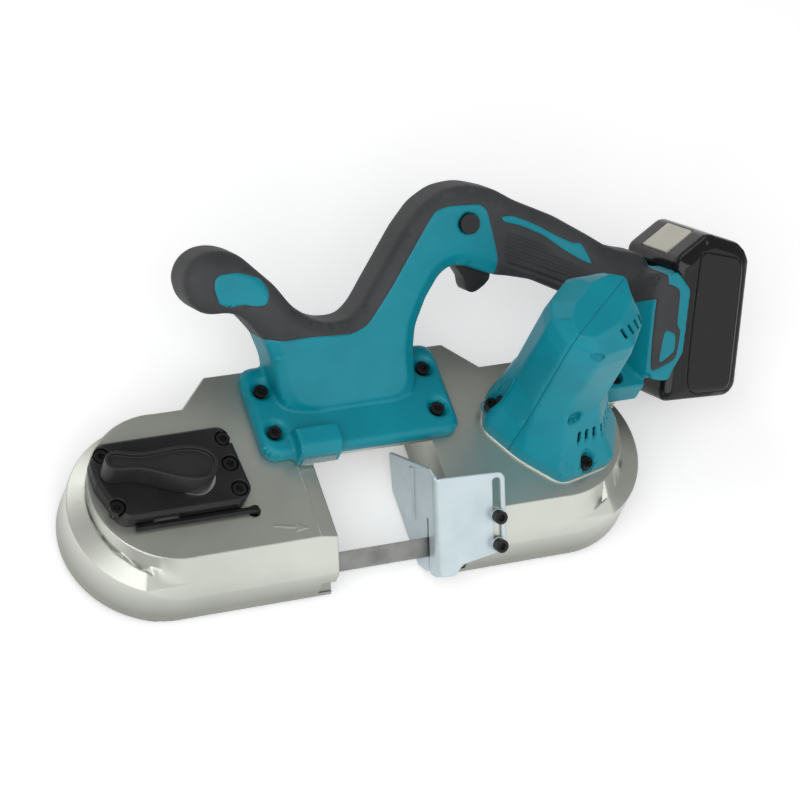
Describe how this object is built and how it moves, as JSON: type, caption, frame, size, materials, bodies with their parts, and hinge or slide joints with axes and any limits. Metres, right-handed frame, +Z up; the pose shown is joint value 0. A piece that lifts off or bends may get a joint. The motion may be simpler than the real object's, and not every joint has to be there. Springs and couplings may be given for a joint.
{
  "type": "portable band saw",
  "caption": "Battery-driven hand-held band saw with a tilted cutting plane, open throat, sliding work stop, tension lever, pistol handle, front knob and clip-on pack.",
  "frame": {"origin": "on the ground plane under the middle of the whole saw lying on its rubber bumpers", "axes": "+X along the blade towards the battery, +Y from the blade towards the handle, +Z up along the wheel axes"},
  "size_m": [0.4667, 0.224, 0.178],
  "materials": {
    "casting_paint": "die-cast alloy with satin silver-grey paint",
    "teal_plastic": "fine-grained moulded teal plastic",
    "grip_rubber": "soft dark overmould",
    "black_plastic": "grained black plastic",
    "bumper_rubber": "matt rubber",
    "zinc_plate": "pale bluish zinc plating",
    "bright_steel": "turned steel",
    "black_screws": "black oxide",
    "blade_steel": "dark tempered band steel",
    "wheel_aluminium": "cast and turned",
    "copper_windings": "wound stator",
    "cell_cans": "plated cans, as light as cells are",
    "pack_black": "glossy black",
    "cream_plastic": "cream button",
    "lamp_clear": "clear lens"
  },
  "bodies": {
    "saw": {"frame_casting": "casting_paint", "left_bumper": "bumper_rubber", "right_bumper": "bumper_rubber", "spindle_bearings": "bright_steel", "blade_return_run": "blade_steel", "blade_cutting_run": "blade_steel", "left_guide": "bright_steel", "right_guide": "bright_steel", "carriage_rails": "bright_steel", "tension_base_plate": "black_plastic", "plate_screws": "black_screws", "lever_ring": "bright_steel", "stop_washers": "zinc_plate", "stop_bolts": "black_screws", "switch_unit": "black_plastic", "knob_inset": "teal_plastic", "grip_inlay": "teal_plastic", "foot_badge": "black_plastic", "handle_screws": "black_screws", "knob_overmould": "grip_rubber", "grip_overmould": "grip_rubber", "lamp_lens": "lamp_clear", "handle_front_half": "teal_plastic", "handle_rear_half": "teal_plastic", "bracket_screws": "black_screws", "foot_screw": "black_screws", "motor_housing_front": "teal_plastic", "motor_housing_rear": "teal_plastic", "housing_screws": "black_screws", "gear_cover": "wheel_aluminium", "motor_stator": "copper_windings", "motor_bearing": "bright_steel", "bearing_bracket": "black_plastic"},
    "drive": {"drive_wheel": "wheel_aluminium", "drive_tyre": "bumper_rubber", "drive_spindle": "bright_steel", "drive_bolt": "black_screws", "spindle_gear": "bright_steel"},
    "counter": {"counter_gear": "bright_steel"},
    "rotor": {"motor_rotor": "bright_steel", "cooling_fan": "black_plastic", "motor_pinion": "bright_steel"},
    "lever": {"tension_lever": "black_plastic", "lever_cam": "bright_steel"},
    "carriage": {"idler_carriage": "bright_steel", "idler_axle": "bright_steel", "idler_clip": "bright_steel"},
    "idler": {"idler_wheel": "wheel_aluminium", "idler_tyre": "bumper_rubber", "idler_bearing": "bright_steel"},
    "trigger_body": {"trigger": "black_plastic"},
    "lock": {"lock_button": "black_plastic"},
    "stop": {"work_stop_plate": "zinc_plate"},
    "key": {"hex_key": "black_screws"},
    "pack": {"battery_case": "pack_black", "battery_cells": "cell_cans"},
    "pack_latch": {"battery_button": "cream_plastic"}
  },
  "joints": [
    {"name": "drive_spin", "type": "hinge", "parent": "saw", "child": "drive", "pos_m": [0.08584, -0.03899, 0.0245], "axis": [0, 0, 1], "continuous": true},
    {"name": "counter_spin", "type": "hinge", "parent": "saw", "child": "counter", "pos_m": [0.10387, -0.02204, 0.055], "axis": [0, 0, 1], "continuous": true},
    {"name": "rotor_spin", "type": "hinge", "parent": "saw", "child": "rotor", "pos_m": [0.08598, -0.01999, 0.09], "axis": [0, 0, 1], "continuous": true},
    {"name": "tension_turn", "type": "hinge", "parent": "saw", "child": "lever", "pos_m": [-0.15602, -0.03499, 0.06], "axis": [0, 0, -1], "range_deg": [0, 160]},
    {"name": "carriage_slide", "type": "slide", "parent": "saw", "child": "carriage", "axis": [1, 0, 0], "range_m": [0, 0.005]},
    {"name": "idler_spin", "type": "hinge", "parent": "carriage", "child": "idler", "pos_m": [-0.16987, -0.03899, 0.0245], "axis": [0, 0, 1], "continuous": true},
    {"name": "trigger_pull", "type": "slide", "parent": "saw", "child": "trigger_body", "axis": [0.4108, 0.6558, 0.6333], "range_m": [0, 0.005], "stiffness_N_per_m": 800},
    {"name": "lock_push", "type": "slide", "parent": "saw", "child": "lock", "axis": [0, 0.6947, -0.7193], "range_m": [0, 0.003], "stiffness_N_per_m": 600},
    {"name": "stop_slide", "type": "slide", "parent": "saw", "child": "stop", "axis": [0, -0.7193, -0.6947], "range_m": [0, 0.012]},
    {"name": "key_lift", "type": "slide", "parent": "saw", "child": "key", "axis": [0, 0, 1], "range_m": [0, 0.025]},
    {"name": "pack_slide", "type": "slide", "parent": "saw", "child": "pack", "axis": [0.1392, 0.7123, 0.6879], "range_m": [0, 0.06]},
    {"name": "pack_latch_press", "type": "slide", "parent": "pack", "child": "pack_latch", "axis": [0.5214, -0.6138, -0.5928], "range_m": [0, 0.003], "stiffness_N_per_m": 600}
  ],
  "couplings": [
    {"joint": "counter_spin", "follows": "drive_spin", "ratio": -5},
    {"joint": "rotor_spin", "follows": "drive_spin", "ratio": 25},
    {"joint": "idler_spin", "follows": "drive_spin", "ratio": 1},
    {"joint": "carriage_slide", "follows": "tension_turn", "m_per_rad": 0.00179}
  ]
}
